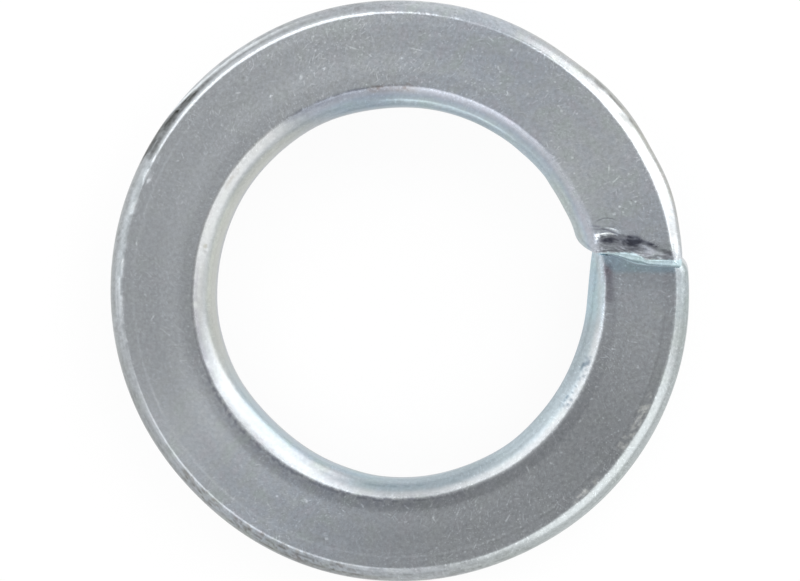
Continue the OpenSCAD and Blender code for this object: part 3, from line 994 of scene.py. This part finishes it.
def zinc_plate(finish):
    """Electroplated zinc with a clear-blue passivation film, over tumbled rolled steel.

    The metal is a soft grey mirror. The film gives it faint patches of green, blue and rose, plating grain
    mottles it, and tumbling against other parts leaves light dings and fine strokes. The grain is drawn about
    0.2 mm across, since the real one, a few hundredths of a millimetre, would be too fine to show.
    """
    material = bpy.data.materials.new("zinc_plate_clear_passivated")
    tree = empty_tree(material)
    position = tree.nodes.new("ShaderNodeTexCoord").outputs["Object"]
    tone, skin, metal, cut = (
        node(tree, "ShaderNodeAttribute", {"attribute_name": name}).outputs["Vector"]
        for name in ("tone", "skin", "metal", "cut")
    )
    tooth, wear, film = node(tree, "ShaderNodeSeparateXYZ", None, Vector=metal).outputs
    is_cut, from_blade, _ = node(tree, "ShaderNodeSeparateXYZ", None, Vector=cut).outputs

    plating_grain = {"Scale": per_mm(0.2), "Detail": 3.0, "Roughness": 0.6}
    grain = node(tree, "ShaderNodeTexNoise", plating_grain, Vector=position)
    light, scratches = tumbled_light(tree, position, skin, grain, wear)
    face_light, face_height = sheared_face(tree, position, from_blade)
    face_light = node(tree, "ShaderNodeMix", {"data_type": "FLOAT", 2: 1.0}, _0=is_cut, _3=face_light)
    light = node(tree, "ShaderNodeMath", MULTIPLY, _0=light, _1=face_light)
    colour = film_colour(tree, finish, position, film)
    colour = node(tree, "ShaderNodeVectorMath", MULTIPLY, _0=colour, _1=tone)
    colour = node(tree, "ShaderNodeVectorMath", {"operation": "SCALE"}, _0=colour, Scale=light)

    face_height = node(tree, "ShaderNodeMath", MULTIPLY, _0=is_cut, _1=face_height)
    height = node(tree, "ShaderNodeMath", ADD, _0=grain, _1=scratches)
    height = node(tree, "ShaderNodeMath", ADD, _0=height, _1=face_height)
    bump = node(tree, "ShaderNodeBump", {"Strength": 0.35, "Distance": 0.01 * MM}, Height=height)
    plate = node(
        tree, "ShaderNodeBsdfPrincipled", {"Metallic": 1.0}, Base_Color=colour, Roughness=tooth, Normal=bump
    )
    node(tree, "ShaderNodeOutputMaterial", None, Surface=plate)
    return material


def floor_paper(colour):
    """White studio paper: bright to the eye, to gloss and through glass, and still taking a shadow."""
    material = bpy.data.materials.new("studio_paper_white")
    tree = empty_tree(material)
    rays = tree.nodes.new("ShaderNodeLightPath").outputs
    seen = strongest(tree, [rays["Is Camera Ray"], rays["Is Glossy Ray"], rays["Is Transmission Ray"]])
    share = node(tree, "ShaderNodeMath", {"operation": "MULTIPLY", 1: 0.9}, _0=seen)
    paper = node(tree, "ShaderNodeBsdfDiffuse", {"Color": colour})
    glow = node(tree, "ShaderNodeEmission", {"Color": colour, "Strength": 1.0})
    mix = node(tree, "ShaderNodeMixShader", None, _0=share, _1=paper, _2=glow)
    node(tree, "ShaderNodeOutputMaterial", None, Surface=mix)
    return material


# ---------------------------------------------------------------- the stage

LIGHT_DISTANCE = 500.0  # mm from the washer
FLOOR_HALF = 2000.0  # mm, half the floor's side
CAMERA_LENS = 131.5  # mm on a sensor 36 mm wide
CAMERA_TARGET = (0.116, 0.109, 5.0)  # mm, a point inside the bore
DOME_TOP = (0.05, 0.0, 0.0)  # the way the dome's darkest spot leans off the zenith

# Levels of the dome, by the sine of the angle from that spot
DOME_LEVELS = [
    (0.0, 0.37), (0.09, 0.39), (0.14, 0.50), (0.20, 0.53),
    (0.5, 0.76), (0.85, 0.84), (0.94, 0.86), (1.0, 1.0),
]

# Softboxes: name, azimuth and elevation of the middle, angular width and height, in degrees, and radiance
SOFTBOXES = [
    ("key_right_low", 38, 22, 64, 36, 0.95),
    ("key_right_high", 43, 54, 56, 28, 0.95),
    ("key_heart", 40, 37, 36, 54, 0.75),
    ("key_top", 74, 60, 34, 14, 0.45),
    ("strip_back", 134, 53, 52, 26, 1.15),
    ("fill_front_right", 320, 40, 56, 48, 0.75),
    ("kick_front_left", 236, 59, 54, 16, 0.75),
]


def softbox(name, azimuth, elevation, wide, high, radiance):
    """An area light that looks at the washer. Its face has that radiance at pi * area * radiance watts."""
    a, e = math.radians(azimuth), math.radians(elevation)
    back = Vector((math.cos(a) * math.cos(e), math.sin(a) * math.cos(e), math.sin(e)))
    light = bpy.data.lights.new(name, "AREA")
    light.shape = "RECTANGLE"
    light.size = 2 * LIGHT_DISTANCE * MM * math.tan(math.radians(wide / 2)) * math.cos(e)
    light.size_y = 2 * LIGHT_DISTANCE * MM * math.tan(math.radians(high / 2))
    light.energy = math.pi * light.size * light.size_y * radiance
    obj = bpy.data.objects.new(name, light)
    bpy.context.scene.collection.objects.link(obj)
    obj.location = back * LIGHT_DISTANCE * MM
    obj.rotation_mode = "QUATERNION"
    obj.rotation_quaternion = (-back).to_track_quat("-Z", "Y")
    obj.visible_camera = False
    return obj


def studio_world():
    """A plain dome: white round the horizon, greyer overhead."""
    world = bpy.data.worlds.new("studio_dome")
    tree = empty_tree(world)
    direction = tree.nodes.new("ShaderNodeTexCoord").outputs["Generated"]
    leaned = node(tree, "ShaderNodeVectorMath", {"operation": "SUBTRACT", 1: DOME_TOP}, _0=direction)
    level = node(tree, "ShaderNodeVectorMath", {"operation": "MULTIPLY", 1: (1, 1, 0)}, _0=leaned)
    off_top = node(tree, "ShaderNodeVectorMath", {"operation": "LENGTH"}, _0=level)
    sky = node(tree, "ShaderNodeValToRGB", None, Fac=off_top.outputs["Value"])
    set_stops(sky.color_ramp, [(at, (grey, grey, grey, 1)) for at, grey in DOME_LEVELS])
    glow = node(tree, "ShaderNodeBackground", {"Strength": 1.0}, Color=sky)
    node(tree, "ShaderNodeOutputWorld", None, Surface=glow)
    bpy.context.scene.world = world


def studio_floor(colour):
    """A flat floor at the washer's foot, far wider than any view."""
    corners = np.array([[-1, -1, 0], [1, -1, 0], [1, 1, 0], [-1, 1, 0]])
    floor = mesh_object("floor", corners * FLOOR_HALF * MM, np.array([[0, 1, 2, 3]]))
    floor.data.materials.append(floor_paper(colour))


def studio_camera(stage):
    """Looks down on the washer from a little to the split's side, and fills the frame's height with it."""
    camera = bpy.data.cameras.new("camera")
    camera.sensor_width = 36.0
    camera.lens = CAMERA_LENS
    camera.clip_start = 0.005
    obj = bpy.data.objects.new("camera", camera)
    bpy.context.scene.collection.objects.link(obj)
    lean = stage.camera_lean
    right = Vector((math.cos(lean), 0, -math.sin(lean)))
    up = Vector((0, 1, 0))
    back = Vector((math.sin(lean), 0, math.cos(lean)))
    obj.location = Vector(CAMERA_TARGET) * MM + back * stage.camera_distance
    obj.rotation_mode = "QUATERNION"
    obj.rotation_quaternion = Matrix((right, up, back)).transposed().to_quaternion()
    bpy.context.scene.camera = obj


# ---------------------------------------------------------------- operators


class WASHER_OT_coil(bpy.types.Operator):
    """Make the coiled bar with its sheared ends"""

    bl_idname = "washer.coil"
    bl_label = "Coil"

    def execute(self, context):
        coil = Coil(context.scene.washer_sizes)
        points, quads, caps, values = coil_mesh(coil)
        obj = mesh_object("washer_coil", points, quads, caps)
        for name, value in values.items():
            obj.data.attributes.new(name, "FLOAT_VECTOR", "POINT").data.foreach_set("vector", value.ravel())
        obj.data.materials.append(zinc_plate(context.scene.washer_finish))
        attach(obj, "root")
        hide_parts(NODE)
        return {"FINISHED"}


class WASHER_OT_stage(bpy.types.Operator):
    """Make the floor, the soft light and the camera"""

    bl_idname = "washer.stage"
    bl_label = "Stage"

    def execute(self, context):
        scene = context.scene
        stage = scene.washer_stage
        studio_world()
        studio_floor(stage.floor)
        for box in SOFTBOXES:
            softbox(*box)
        studio_camera(stage)
        scene.view_settings.view_transform = "Standard"
        return {"FINISHED"}


class WASHER_PT_panel(bpy.types.Panel):
    """The washer's sizes, colours and operators"""

    bl_idname = "WASHER_PT_panel"
    bl_label = "Spring lock washer"
    bl_space_type = "VIEW_3D"
    bl_region_type = "UI"
    bl_category = "Washer"

    def draw(self, context):
        scene = context.scene
        for group in (scene.washer_sizes, scene.washer_finish, scene.washer_stage):
            for name in group.__annotations__:
                self.layout.prop(group, name)
        for operator in OPERATORS:
            self.layout.operator(operator.bl_idname)


GROUPS = {"washer_sizes": WasherSizes, "washer_finish": ZincFinish, "washer_stage": StageSettings}
OPERATORS = (WASHER_OT_coil, WASHER_OT_stage)


def register():
    """Registers the classes and hangs their settings on the scene."""
    for cls in (*GROUPS.values(), *OPERATORS, WASHER_PT_panel):
        bpy.utils.register_class(cls)
    for name, group in GROUPS.items():
        setattr(bpy.types.Scene, name, PointerProperty(type=group))


def unregister():
    """Takes the settings off the scene and unregisters the classes."""
    for name in GROUPS:
        delattr(bpy.types.Scene, name)
    for cls in (WASHER_PT_panel, *reversed(OPERATORS), *reversed(list(GROUPS.values()))):
        bpy.utils.unregister_class(cls)


def main():
    register()
    bpy.ops.washer.coil()
    bpy.ops.washer.stage()


if __name__ == "__main__":
    main()
